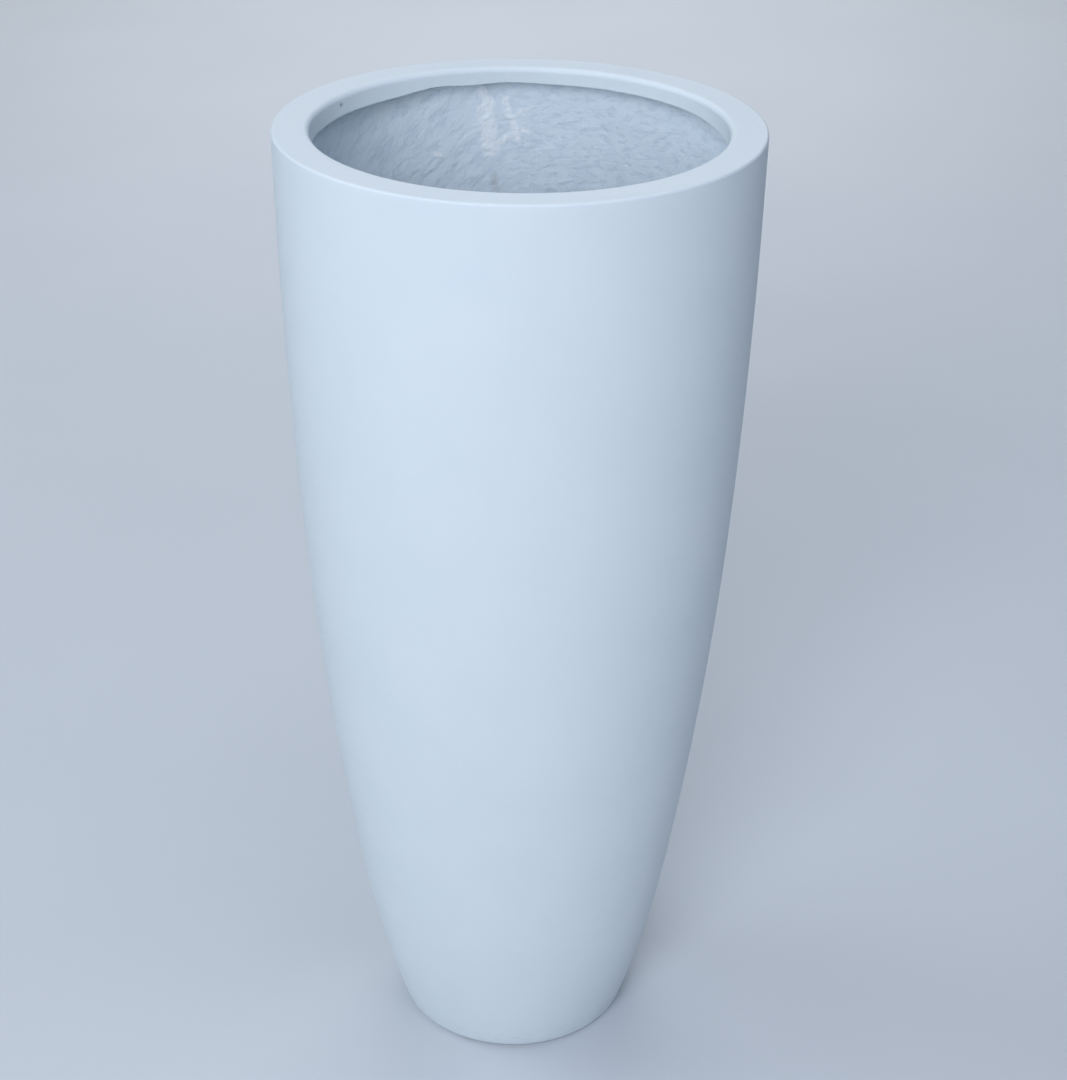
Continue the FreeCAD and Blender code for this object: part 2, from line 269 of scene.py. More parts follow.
def streaksOf(tree, vector, size, turn, detail, rough=0.5, bend=0.0, shift=0.0):
    # noise drawn out into streaks: size is their length and width in mm, turn their slant in degrees
    along = addNode(tree, "ShaderNodeMapping", {"vector_type": "TEXTURE"},
                    {"Vector": vector, "Rotation": (0, 0, math.radians(turn)), "Location": (shift, 0, 0),
                     "Scale": (size[0] * mm, size[1] * mm, 1)})
    return addNode(tree, "ShaderNodeTexNoise", {},
                   {"Vector": along.outputs[0], "Scale": 1.0, "Detail": detail, "Roughness": rough,
                    "Distortion": bend}).outputs[0]


def ranged(tree, value, low, high, toLow=0.0, toHigh=1.0, soft=False):
    # a value carried from one range over to another
    settings = {"interpolation_type": "SMOOTHSTEP"} if soft else {}
    return addNode(tree, "ShaderNodeMapRange", settings,
                   {0: value, 1: low, 2: high, 3: toLow, 4: toHigh}).outputs[0]


def worked(tree, operation, *values):
    return addNode(tree, "ShaderNodeMath", {"operation": operation}, dict(enumerate(values))).outputs[0]


def blended(tree, part, one, two):
    # one colour going over into two by part; each is a hex colour or another node's colour
    ends = [linear(end) if isinstance(end, str) else end for end in (one, two)]
    return addNode(tree, "ShaderNodeMix", {"data_type": "RGBA"}, {0: part, 6: ends[0], 7: ends[1]}).outputs[2]


def bumped(tree, height, distance, under=None):
    # unevenness too fine for the mesh, distance in mm, laid over another one if that is given
    inputs = {"Strength": 1.0, "Distance": distance * mm, "Height": height}
    if under is not None:
        inputs["Normal"] = under
    return addNode(tree, "ShaderNodeBump", {}, inputs).outputs[0]


def upwardOf(tree):
    # how far the surface faces up
    facing = addNode(tree, "ShaderNodeNewGeometry", {}, {})
    return addNode(tree, "ShaderNodeSeparateXYZ", {}, {0: facing.outputs["Normal"]}).outputs["Z"]


def layerOf(tree, name):
    # what was written on the mesh's points
    return addNode(tree, "ShaderNodeAttribute", {"attribute_name": name}, {}).outputs["Fac"]


# the wall's paint: polyester gelcoat, rubbed down and sprayed with matt two-part paint
# sizes and heights in mm; a row of four goes from one range over to another
paintFinish = {"colour": "#e4ebee", "shade": "#e0e8ec", "dust": "#cfd1cd", "scuff": "#a9afb1", "pitShade": "#6f777b",
               "tintSize": 70, "tint": (0.35, 0.68, 0.0, 0.7), "dustSize": 5, "lying": (0.7, 1.0, 0.0, 0.16),
               "scuffHeight": (0.03, 0.0, 0.0, 0.32), "scratchSize": (12, 12, 1.2), "scratched": (0.5, 0.72),
               "rough": (0.3, 0.7, 0.56, 0.63), "ripple": 40, "rippleHeight": 0.05, "peel": 1.8, "peelHeight": 0.03,
               "ior": 1.5, "specular": 0.3}


def makePaint():
    # gives a pale, even face with a soft satin light on it, a faint orange peel and slow ripples
    finish = paintFinish
    material, tree, shader, place = startMaterial("mattPaintOverGelcoat")
    cloud = noiseOf(tree, place, finish["tintSize"], 3)
    fine = noiseOf(tree, place, finish["dustSize"], 3, 0.6)
    base = blended(tree, ranged(tree, cloud, *finish["tint"]), finish["colour"], finish["shade"])
    lying = ranged(tree, upwardOf(tree), *finish["lying"])
    dusty = blended(tree, worked(tree, "MULTIPLY", lying, fine), base, finish["dust"])
    # rubbed and greyed for a few centimetres above the floor
    height = addNode(tree, "ShaderNodeSeparateXYZ", {}, {0: place}).outputs["Z"]
    low = ranged(tree, height, *finish["scuffHeight"])
    scratches = addNode(tree, "ShaderNodeMapping", {"vector_type": "TEXTURE"},
                        {"Vector": place, "Scale": [size * mm for size in finish["scratchSize"]]}).outputs[0]
    rub = addNode(tree, "ShaderNodeTexNoise", {}, {"Vector": scratches, "Scale": 1.0, "Detail": 3.0}).outputs[0]
    worn = worked(tree, "MULTIPLY", low, ranged(tree, rub, *finish["scratched"]))
    scuffed = blended(tree, worn, dusty, finish["scuff"])
    # painted shade: the bottom of the pit in the lip is coloured dark
    colour = blended(tree, layerOf(tree, "pitShade"), scuffed, finish["pitShade"])
    rough = ranged(tree, cloud, *finish["rough"])
    ripple = bumped(tree, noiseOf(tree, place, finish["ripple"], 1), finish["rippleHeight"])
    peel = bumped(tree, noiseOf(tree, place, finish["peel"], 2), finish["peelHeight"], ripple)
    endMaterial(tree, shader, colour, rough, peel)
    shader.inputs["IOR"].default_value = finish["ior"]
    shader.inputs["Specular IOR Level"].default_value = finish["specular"]
    return material


# waves of the brush left and right of the back: length, width and slant
# bend is the size and reach of their wander; turnOver is where one kind goes over into the other, metres on the sheet
# shadedValley and litRidge: painted shade in the waves' valleys and painted highlight on their crests
laminateFinish = {"shadedValley": "#d8e2eb", "litRidge": "#e8f0f5", "strand": "#eff5f8", "resin": "#d6e0e9",
                  "putty": "#fbfcfb", "stain": "#a79d96",
                  "leftWave": (19, 7.5, 42), "rightWave": (9.5, 5.6, 8), "waveHeight": 1.15, "bend": (22, 12),
                  "thinCrest": (0.0, 0.14, 1.0, 0.0), "thinShare": 0.1, "turnOver": (-0.06, 0.03),
                  "crestLight": (0.38, 0.74), "strandSize": (38, 1.7), "strandTurns": (9, 51, 98, 143),
                  "strandKeep": (0.56, 0.72), "strandBend": 0.25, "strandShare": 0.2, "strandHeight": 0.09,
                  "blotchSize": 28, "pooled": (0.52, 0.75, 0.0, 0.5), "rough": (0.3, 0.7, 0.75, 0.55),
                  "gritSize": 3.4, "gritHeight": 0.35, "scrapeSize": (8.5, 2.6), "scrapeTurn": 72,
                  "broken": (1.7, -0.85), "wiped": (0.3, 1.15, 0.0, 0.85), "stainShare": 0.5,
                  "ior": 1.54, "specular": 0.4}


def strandMat(tree, sheet, finish):
    # chopped strands of glass lying every way in the resin, drawn a little wide so that they show
    strands = None
    for turn in finish["strandTurns"]:
        thin = streaksOf(tree, sheet, finish["strandSize"], turn, 0, bend=finish["strandBend"], shift=turn * 0.01)
        line = ranged(tree, thin, *finish["strandKeep"])
        strands = line if strands is None else worked(tree, "MAXIMUM", strands, line)
    return strands


def puttyOver(tree, bent, colour, finish):
    # scraped thin at the edges of each stroke, so that the wall shows through in streaks
    smear = layerOf(tree, "putty")
    grain = streaksOf(tree, bent, finish["scrapeSize"], finish["scrapeTurn"], 3, 0.6)
    patchy = worked(tree, "ADD", smear, worked(tree, "MULTIPLY_ADD", grain, *finish["broken"]))
    held = worked(tree, "MULTIPLY", ranged(tree, patchy, *finish["wiped"]), smear)
    puttied = blended(tree, held, colour, finish["putty"])
    # the faint brownish run below the putty
    faint = worked(tree, "MULTIPLY", layerOf(tree, "stain"), grain)
    return blended(tree, worked(tree, "MULTIPLY", faint, finish["stainShare"]), puttied, finish["stain"])


def makeLaminate(name, inWall):
    # hand-laid glass mat under a brushed white flow coat: dull and pale, with little waves, and the strands
    # showing faintly through it; the waves carry a painted highlight on their crests and painted shade in their valleys
    finish = laminateFinish
    material, tree, shader, place = startMaterial(name)
    sheet = addNode(tree, "ShaderNodeUVMap", {"uv_map": "sheet"}, {}).outputs[0]
    bendSize, bendReach = (value * mm for value in finish["bend"])
    bendBy = addNode(tree, "ShaderNodeTexNoise", {}, {"Vector": sheet, "Scale": 1 / bendSize, "Detail": 2.0})
    away = addNode(tree, "ShaderNodeVectorMath", {"operation": "SUBTRACT"},
                   {0: bendBy.outputs["Color"], 1: (0.5, 0.5, 0.5)})
    bent = addNode(tree, "ShaderNodeVectorMath", {"operation": "MULTIPLY_ADD"},
                   {0: away.outputs[0], 1: (bendReach, bendReach, 0), 2: sheet}).outputs[0]
    combed = []
    for length, width, turn in (finish["leftWave"], finish["rightWave"]):
        comb = streaksOf(tree, bent, (length, width), turn, 3)
        # thin crests where the brush's bristles left off, laid over the soft waves
        gap = worked(tree, "ABSOLUTE", worked(tree, "SUBTRACT", comb, 0.5))
        thin = ranged(tree, gap, *finish["thinCrest"], soft=True)
        combed.append(worked(tree, "MULTIPLY_ADD", thin, finish["thinShare"], comb))
    across = addNode(tree, "ShaderNodeSeparateXYZ", {}, {0: sheet}).outputs["X"]
    side = ranged(tree, across, *finish["turnOver"], soft=True)
    ridges = addNode(tree, "ShaderNodeMix", {"data_type": "FLOAT"}, {0: side, 2: combed[0], 3: combed[1]}).outputs[0]
    # painted light: the colour is lighter on the waves' crests (painted highlight) and darker in their valleys (painted
    # shade)
    crestLight = ranged(tree, ridges, *finish["crestLight"])
    strands = strandMat(tree, sheet, finish)
    blotch = noiseOf(tree, place, finish["blotchSize"], 3, 0.6)
    base = blended(tree, crestLight, finish["shadedValley"], finish["litRidge"])
    glassy = blended(tree, worked(tree, "MULTIPLY", strands, finish["strandShare"]), base, finish["strand"])
    colour = blended(tree, ranged(tree, blotch, *finish["pooled"]), glassy, finish["resin"])
    rough = ranged(tree, blotch, *finish["rough"])
    if inWall:
        colour = puttyOver(tree, bent, colour, finish)
    coarse = bumped(tree, ridges, finish["waveHeight"])
    mat = bumped(tree, strands, finish["strandHeight"], coarse)
    grit = bumped(tree, noiseOf(tree, place, finish["gritSize"], 3, 0.55), finish["gritHeight"], mat)
    endMaterial(tree, shader, colour, rough, grit)
    shader.inputs["IOR"].default_value = finish["ior"]
    shader.inputs["Specular IOR Level"].default_value = finish["specular"]
    return material


resinFinish = {"colour": "#c3c8cb", "deep": "#abb1b5", "speck": "#dcdcd4", "swirlSize": 16, "swirlBend": 1.2,
               "speckSize": 3.2, "specked": (0.2, 0.08, 0.0, 0.7), "rough": (0.0, 1.0, 0.34, 0.55),
               "wipedHeight": 0.5, "ior": 1.54}


def makeResin():
    # polyester resin thickened with filler and wiped with a gloved finger: pale grey, slightly waxy, with paler specks
    finish = resinFinish
    material, tree, shader, place = startMaterial("wipedFillerResin")
    swirl = noiseOf(tree, place, finish["swirlSize"], 3, 0.6, finish["swirlBend"])
    specks = addNode(tree, "ShaderNodeTexVoronoi", {}, {"Vector": place, "Scale": 1 / (finish["speckSize"] * mm)})
    speck = ranged(tree, specks.outputs["Distance"], *finish["specked"])
    colour = blended(tree, speck, blended(tree, swirl, finish["deep"], finish["colour"]), finish["speck"])
    rough = ranged(tree, swirl, *finish["rough"])
    endMaterial(tree, shader, colour, rough, bumped(tree, swirl, finish["wipedHeight"]))
    shader.inputs["IOR"].default_value = finish["ior"]
    return material


rubberFinish = {"colour": "#232427", "dust": "#6f6d69", "bloomSize": 6, "lying": (0.2, 1.0, 0.04, 0.34),
                "rough": (0.0, 1.0, 0.55, 0.75), "skinSize": 0.9, "skinHeight": 0.05, "ior": 1.52}


def makeRubber():
    # moulded black rubber: nearly matt, a little grey with dust where it faces up
    finish = rubberFinish
    material, tree, shader, place = startMaterial("mouldedRubber")
    bloom = noiseOf(tree, place, finish["bloomSize"], 3, 0.6)
    lying = ranged(tree, upwardOf(tree), *finish["lying"])
    colour = blended(tree, worked(tree, "MULTIPLY", lying, bloom), finish["colour"], finish["dust"])
    rough = ranged(tree, bloom, *finish["rough"])
    skin = bumped(tree, noiseOf(tree, place, finish["skinSize"], 2), finish["skinHeight"])
    endMaterial(tree, shader, colour, rough, skin)
    shader.inputs["IOR"].default_value = finish["ior"]
    return material


paint = makePaint()
wallLaminate = makeLaminate("brushedGlassLaminate", True)
baseLaminate = makeLaminate("baseGlassLaminate", False)
resin = makeResin()
rubber = makeRubber()
print("finishes made")

wallShell = {"steps": 320, "footFlat": 92.6, "footOpening": 62, "footTurn": 7, "foldTop": 12, "foldInset": 3,
             "top": 810, "outerRows": 50, "fineRows": 33, "plainRows": 52,
             # the stretch of inside wall that shows through the mouth: heights, and degrees to each side of the back
             "fineFrom": 690, "fineTo": 809.5, "fineHalfAngle": 74,
             # heights where each relief comes in, is full, starts to die out and is gone
             "innerRelief": (12, 30, 804, 809), "outerRelief": (10, 50, 780, 806),
             # strokes of the putty knife on the back wall: from and to, round the wall and up, and half the width
             "putty": [((-29, 777), (-26, 738), 11.5), ((-33, 789), (-24, 776), 6.5), ((-13, 782), (-6, 760), 4.2),
                       ((-6, 764), (-1, 746), 5.0), ((-22, 742), (-6, 750), 4.2), ((-6, 766), (7, 773), 3.6),
                       ((-4, 756), (8, 753), 3.4), ((-74, 736.6), (-70, 737.2), 2.2), ((-69, 736), (-65, 734.4), 2.0)],
             "stain": [((-22, 714), (-21, 702), 4.2)],
             # how often and how wide the strokes' edges wander, the wall's radius there, and how far left and right
             "rag": ((210, 2.4), (560, 1.4)), "strokeRadius": 184, "strokeReach": (-85, 25),
             "puttyHeight": 0.8, "puttyLumps": (0.7, 0.9, 300),
             # bare laminate inside above the first height, and on faces that look up below the second
             "laminateFrom": 5.5, "foldBelow": 20}


def wallSection(values):
    flat, opening, top = values["footFlat"], values["footOpening"], values["top"]
    turnEnd, foldTop, fineFrom = values["footTurn"], values["foldTop"], values["fineFrom"]
    inset = flat - values["foldInset"]
    section = [(opening, 0)] + straight((opening, 0), (flat, 0), 8)
    section += bentCorner((flat, 0), (outsideRadius(0), 0), (outsideRadius(turnEnd), turnEnd))[1:]
    section += [(outsideRadius(height), height) for height in evenly(turnEnd, top, values["outerRows"])]
    section += straight((outsideRadius(top), top), (insideRadius(top), top), 2.5)
    rows = evenly(top, fineFrom, values["fineRows"]) + evenly(fineFrom, foldTop, values["plainRows"])
    section += [(insideRadius(height), height) for height in rows]
    section += bentCorner((insideRadius(foldTop), foldTop), (insideRadius(wallThick), wallThick),
                          (inset, wallThick), 4)[1:]
    section += straight((inset, wallThick), (opening, wallThick), 8)
    section += [(opening, wallThick / 2), (opening, 0)]
    return section


def strokeAt(spot, strokes):
    # how much of the strokes lies at this place on the wall, 0 to 1
    around = math.atan2(spot.x, spot.y) * wallShell["strokeRadius"]
    height = spot.z / mm
    rag = sum(noise.noise(spot * often) * wide for often, wide in wallShell["rag"])
    most = 0
    for (fromAround, fromHeight), (toAround, toHeight), half in strokes:
        along = Vector((toAround - fromAround, toHeight - fromHeight))
        here = Vector((around - fromAround, height - fromHeight))
        part = min(max(here.dot(along) / along.length_squared, 0), 1)
        # a narrow stroke wanders less
        gap = (here - along * part).length + rag * min(half / 3, 1)
        most = max(most, fade(half * 1.25, half * 0.2, gap))
    return most


def makeWallShell():
    values = wallShell
    piece = turnSection("wallShell", wallSection(values), values["steps"])
    fineFrom, fineTo = values["fineFrom"] * mm, values["fineTo"] * mm
    halfAngle = math.radians(values["fineHalfAngle"])

    def facesIn(spot, normal):
        return spot.x * normal.x + spot.y * normal.y < 0

    def showsInMouth(middle, normal):
        behind = abs(math.atan2(middle.x, middle.y)) < halfAngle
        return fineFrom < middle.z < fineTo and facesIn(middle, normal) and behind

    def inWall(spot, normal):
        return fadeBoth(values["innerRelief"], spot.z) if facesIn(spot, normal) else 0

    def outWall(spot, normal):
        return fadeBoth(values["outerRelief"], spot.z) if facesIn(spot, -normal) else 0

    bpy.ops.object.mode_set(mode="EDIT")
    pickFaces(piece, showsInMouth)
    bpy.ops.mesh.subdivide(number_cuts=2)
    bpy.ops.object.mode_set(mode="OBJECT")
    weigh(piece, "inWall", inWall)
    weigh(piece, "outWall", outWall)
    relief(piece, "slowRipple", height=0.12, size=110, group="outWall", middle=1.0)
    relief(piece, "trowelled", height=2.2, size=34, group="inWall")
    relief(piece, "brushed", height=1.2, size=7.5, group="inWall", stretch=(2.0, 1.5, 1.0), turn=(0, -38, 0))
    # putty lies on top of the laminate, and the stain only colours it
    for layer in ("putty", "stain"):
        piece.data.attributes.new(layer, "FLOAT", "POINT")
    puttyLayer = piece.data.attributes["putty"]
    stainLayer = piece.data.attributes["stain"]
    left, right = (reach * mm for reach in values["strokeReach"])
    usual, uneven, often = values["puttyLumps"]
    for vertex in piece.data.vertices:
        spot = vertex.co
        if spot.y > 0 and spot.z > fineFrom and left < spot.x < right and spot.y * vertex.normal.y < 0:
            amount = strokeAt(spot, values["putty"])
            puttyLayer.data[vertex.index].value = amount
            stainLayer.data[vertex.index].value = strokeAt(spot, values["stain"])
            if amount > 0:
                lift = values["puttyHeight"] * amount * (usual + uneven * noise.noise(spot * often))
                vertex.co = spot + vertex.normal * lift * mm
    piece.vertex_groups.clear()
    layOut(piece)
    piece.data.materials.append(paint)
    piece.data.materials.append(wallLaminate)
    for face in piece.data.polygons:
        inside = facesIn(face.center, face.normal) and face.center.z > values["laminateFrom"] * mm
        onFold = face.normal.z > 0.5 and face.center.z < values["foldBelow"] * mm
        face.material_index = 1 if inside or onFold else 0
    smoothShade(piece)
    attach(piece, "planter")
    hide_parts("body_shell")


makeWallShell()
print("wall shell done")

rimRing = {"steps": 480, "outer": 190, "mouth": 161, "lipBack": 165.5, "top": 815, "under": 810,
           "outerCorner": 2.2, "innerCorner": 4.0, "lipCorner": 0.6, "rootCorner": 3, "lipFoot": 797, "trimFrom": 807,
           # the frame's trimmed edge lies below this height and within this radius
           "edgeBelow": 803, "edgeWithin": 161.2,
           # nicks along the edge: layer of noise, how often, how deep
           "nicks": ((0, 34, 0.35), (3, 90, 0.16)),
           # the pit in the lip's paint: degrees from the back, height, depth, radii of its edge and bottom, and radii
           # of the painted shade in it
           "pit": {"angle": -62, "height": 806.6, "depth": 0.9, "pressed": (2.4, 0.4), "shadedBottom": (2.2, 0.6)},
           "rippleFrom": (810.5, 813), "rippleWithin": (189.5, 187)}


def lipEdgeTable():
    # the hand-trimmed edge of the lip as the frame has it: angle and height, a little more than once round
    found = {}
    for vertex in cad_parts["rim_ring"].data.vertices:
        spot = vertex.co
        if spot.z < rimRing["edgeBelow"] * mm and math.hypot(spot.x, spot.y) < rimRing["edgeWithin"] * mm:
            found[round(math.atan2(spot.y, spot.x), 4)] = spot.z / mm
    edge = sorted(found.items())
    turn = 2 * math.pi
    return ([(angle - turn, height) for angle, height in edge[-3:]] + edge
            + [(angle + turn, height) for angle, height in edge[:3]])


def rimSection(values):
    outer, mouth, back = values["outer"], values["mouth"], values["lipBack"]
    top, under, foot = values["top"], values["under"], values["lipFoot"]
    big, small, tip, root = (values[key] for key in ("outerCorner", "innerCorner", "lipCorner", "rootCorner"))
    section = [(outer, under)] + straight((outer, under), (outer, top - big), 1.4)
    section += corner((outer - big, top - big), big, 0, 90, 8)[1:]
    section += straight((outer - big, top), (mouth + small, top), 3.2)
    section += corner((mouth + small, top - small), small, 90, 180, 10)[1:]
    section += straight((mouth, top - small), (mouth, foot + tip), 1.3)
    section += corner((mouth + tip, foot + tip), tip, 180, 270, 3)[1:]
    section += straight((mouth + tip, foot), (back - tip, foot), 1.5)
    section += corner((back - tip, foot + tip), tip, 270, 360, 3)[1:]
    section += straight((back, foot + tip), (back, under - root), 1.6)
    section += corner((back + root, under - root), root, 180, 90, 4)[1:]
    section += straight((back + root, under), (outer, under), 5)
    return section


def makeRimRing():
    values = rimRing
    piece = turnSection("rimRing", rimSection(values), values["steps"])
    # the lip is drawn up to the trimmed edge
    edge = lipEdgeTable()
    start, foot = values["trimFrom"] * mm, values["lipFoot"] * mm
    lipReach = (values["lipBack"] + 0.5) * mm
    for vertex in piece.data.vertices:
        spot = vertex.co
        if spot.z < start and math.hypot(spot.x, spot.y) < lipReach:
            angle = math.atan2(spot.y, spot.x)
            nick = sum(noise.noise(Vector((math.cos(angle), math.sin(angle), layer)) * often) * deep
                       for layer, often, deep in values["nicks"])
            wanted = (smoothBetween(edge, angle) + nick) * mm
            spot.z = start - (start - spot.z) * (start - wanted) / (start - foot)
    # a pit in the paint on the lip's left side
    pit = values["pit"]
    angle = math.radians(pit["angle"])
    pitSpot = Vector((math.sin(angle) * values["mouth"], math.cos(angle) * values["mouth"], pit["height"])) * mm
    piece.data.attributes.new("pitShade", "FLOAT", "POINT")
    pitShadeLayer = piece.data.attributes["pitShade"]
    for vertex in piece.data.vertices:
        gap = (vertex.co - pitSpot).length / mm
        if gap < pit["pressed"][0]:
            outward = Vector((vertex.co.x, vertex.co.y, 0)).normalized()
            vertex.co += outward * fade(*pit["pressed"], gap) * pit["depth"] * mm
            # painted shade: the pit's bottom is marked to be coloured dark
            pitShadeLayer.data[vertex.index].value = fade(*pit["shadedBottom"], gap)

    def upperFaces(spot, normal):
        radius = math.hypot(spot.x, spot.y)
        return fade(*values["rippleFrom"], spot.z / mm) * fade(*values["rippleWithin"], radius / mm)

    weigh(piece, "upperFaces", upperFaces)
    relief(piece, "slowRipple", height=0.35, size=60, group="upperFaces", middle=1.0)
    piece.vertex_groups.clear()
    piece.data.materials.append(paint)
    smoothShade(piece)
    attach(piece, "planter")
    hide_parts("rim_ring")


makeRimRing()
print("rim ring done")

rimBead = {"steps": 240, "reach": 8, "under": 809.9, "wallGap": 0.05, "hollow": 0.42, "wipedWithin": 183.8}


def makeRimBead():
    values = rimBead
    under, reach, wallGap = values["under"], values["reach"], values["wallGap"]
    wall = insideRadius(under) - wallGap
    hollow = reach * values["hollow"]
    foot = (insideRadius(under - reach) - wallGap, under - reach)
    section = bentCorner((wall - reach, under), (wall - hollow, under - hollow), foot)
    section += straight(foot, (wall, under), 2)
    section += straight((wall, under), (wall - reach, under), 2)
    piece = turnSection("rimBead", section, values["steps"])

    def wiped(spot, normal):
        return 1 if normal.z < -0.2 and math.hypot(spot.x, spot.y) < values["wipedWithin"] * mm else 0

    weigh(piece, "wiped", wiped)
    relief(piece, "wipedWaves", height=1.2, size=14, group="wiped", middle=0.75)
    piece.vertex_groups.clear()
    piece.data.materials.append(resin)
    smoothShade(piece)
    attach(piece, "planter")
    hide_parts("rim_bond")


makeRimBead()
print("rim bead done")

baseDisc = {"steps": 200, "outer": 92.5, "hole": 11, "low": 5, "high": 11, "holeEdge": 0.5,
            # radii where the relief comes in, is full, starts to die out and is gone, on what lies above the height
            "relief": (19, 26, 88, 92), "reliefAbove": 10.8}


def makeBaseDisc():
    values = baseDisc
    outer, hole, low, high, edge = (values[key] for key in ("outer", "hole", "low", "high", "holeEdge"))
    section = [(hole, low + edge), (hole, high - edge)]
    section += corner((hole + edge, high - edge), edge, 180, 90, 2)[1:]
    section += straight((hole + edge, high), (outer, high), 2.7)
    section += straight((outer, high), (outer, low), 3)
    section += straight((outer, low), (hole + edge, low), 4)
    section += corner((hole + edge, low + edge), edge, 270, 180, 2)[1:]
    piece = turnSection("baseDisc", section, values["steps"])

    def layUp(spot, normal):
        above = spot.z > values["reliefAbove"] * mm
        return fadeBoth(values["relief"], math.hypot(spot.x, spot.y)) if above else 0

    weigh(piece, "layUp", layUp)
    relief(piece, "layUp", height=1.3, size=17, group="layUp", middle=1.0, depth=2)
    piece.vertex_groups.clear()
    layOut(piece, flat=True)
    piece.data.materials.append(baseLaminate)
    smoothShade(piece)
    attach(piece, "planter")
    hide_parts("base_disc")


makeBaseDisc()
print("base disc done")

baseBead = {"steps": 300, "start": 81, "floor": 11, "top": 24.6, "wallGap": 0.05, "hollow": (91.2, 13.4),
            "wallHeights": (21, 17, 14),
            # the edge on the base wanders: below this height, less towards the second radius, by these noises
            "raggedBelow": 13.5, "ragged": (88.5, 81), "rag": ((60, 1.6), (190, 0.7)), "ragMiddle": 1.6,
            "wipedFrom": (83, 87), "wipedTo": (24.5, 21)}


def makeBaseBead():
    values = baseBead
    start, floor, top, wallGap = (values[key] for key in ("start", "floor", "top", "wallGap"))
    section = bentCorner((start, floor), values["hollow"], (insideRadius(top) - wallGap, top), 12)
    section += [(insideRadius(height) - wallGap, height) for height in (*values["wallHeights"], floor)]
    section += straight(section[-1], (start, floor), 4)
    piece = turnSection("baseBead", section, values["steps"])
    for vertex in piece.data.vertices:
        spot = vertex.co
        radius = math.hypot(spot.x, spot.y)
        if spot.z < values["raggedBelow"] * mm and radius < values["ragged"][0] * mm:
            level = Vector((spot.x, spot.y, 0))
            rag = values["ragMiddle"] + sum(wide * noise.noise(level * often) for often, wide in values["rag"])
            wider = 1 + rag * mm / radius * fade(*values["ragged"], radius / mm)
            spot.x *= wider
            spot.y *= wider

    def wiped(spot, normal):
        radius = math.hypot(spot.x, spot.y)
        return fade(*values["wipedFrom"], radius / mm) * fade(*values["wipedTo"], spot.z / mm) if normal.z > 0.05 else 0

    weigh(piece, "wiped", wiped)
    relief(piece, "wipedWaves", height=1.8, size=16, group="wiped", middle=0.8)
    piece.vertex_groups.clear()
    piece.data.materials.append(resin)
    smoothShade(piece)
    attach(piece, "planter")
    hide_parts("base_bond")


makeBaseBead()
print("base bead done")

drainPlug = {"steps": 72, "stem": 10.95, "head": 18, "foot": 5, "seat": 11, "headTop": 14, "edge": 0.9, "footEdge": 1,
             "tabHalf": 7, "tabTop": 27, "tabThick": 4, "tabSides": 64, "tabSunk": 0.4,
             "cell": 0.38, "ease": 0.5, "easeTimes": 5}


def plugSection(values):
    stem, head, foot, seat, crown = (values[key] for key in ("stem", "head", "foot", "seat", "headTop"))
    edge, footEdge = values["edge"], values["footEdge"]
    section = [(0, foot), (stem - footEdge, foot)]
    section += corner((stem - footEdge, foot + footEdge), footEdge, 270, 360, 4)[1:]
    section += [(stem, seat), (head - edge, seat)]
    section += corner((head - edge, seat + edge), edge, 270, 360, 4)[1:]
    section += [(head, crown - edge)] + corner((head - edge, crown - edge), edge, 0, 90, 4)[1:]
    section += [(0, crown)]
    return section


def makeDrainPlug():
    values = drainPlug
    piece = turnSection("drainPlug", plugSection(values), values["steps"])
    # the tab: a round blank stood on edge, its lower half drawn down into the head
    half, thick = values["tabHalf"], values["tabThick"]
    middle = values["tabTop"] - half
    down = values["headTop"] - values["tabSunk"] - middle
    bpy.ops.object.select_all(action="DESELECT")
    bpy.ops.mesh.primitive_cylinder_add(vertices=values["tabSides"], radius=half * mm, depth=thick * mm,
                                        location=(0, 0, middle * mm), rotation=(math.pi / 2, 0, 0))
    tab = bpy.context.object
    tab.name = "plugTab"
    bpy.ops.object.transform_apply(location=True, rotation=True, scale=True)
    bpy.ops.object.mode_set(mode="EDIT")
    bpy.ops.mesh.select_all(action="SELECT")
    bpy.ops.mesh.bisect(plane_co=(0, 0, middle * mm), plane_no=(0, 0, 1), use_fill=True, clear_inner=True)
    pickFaces(tab, lambda centre, normal: normal.z < -0.9)
    bpy.ops.mesh.extrude_region_move(TRANSFORM_OT_translate={"value": (0, 0, down * mm)})
    bpy.ops.mesh.select_all(action="SELECT")
    bpy.ops.mesh.normals_make_consistent(inside=False)
    bpy.ops.object.mode_set(mode="OBJECT")
    bpy.ops.object.select_all(action="DESELECT")
    bpy.context.view_layer.objects.active = piece
    union = piece.modifiers.new("tabUnion", "BOOLEAN")
    union.operation = "UNION"
    union.solver = "EXACT"
    union.object = tab
    bpy.ops.object.modifier_apply(modifier=union.name)
    bpy.data.objects.remove(tab)
    # one skin of small cells, eased so that the edges and the tab's root come out rounded as from a mould
    skin = piece.modifiers.new("skin", "REMESH")
    skin.mode = "VOXEL"
    skin.voxel_size = values["cell"] * mm
    bpy.ops.object.modifier_apply(modifier=skin.name)
    ease = piece.modifiers.new("ease", "SMOOTH")
    ease.factor = values["ease"]
    ease.iterations = values["easeTimes"]
    bpy.ops.object.modifier_apply(modifier=ease.name)
    piece.data.materials.clear()
    piece.data.materials.append(rubber)
    bpy.ops.object.select_all(action="DESELECT")
    piece.select_set(True)
    bpy.ops.object.shade_smooth()
    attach(piece, "plug")
    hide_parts("drain_plug")


makeDrainPlug()
print("drain plug done")

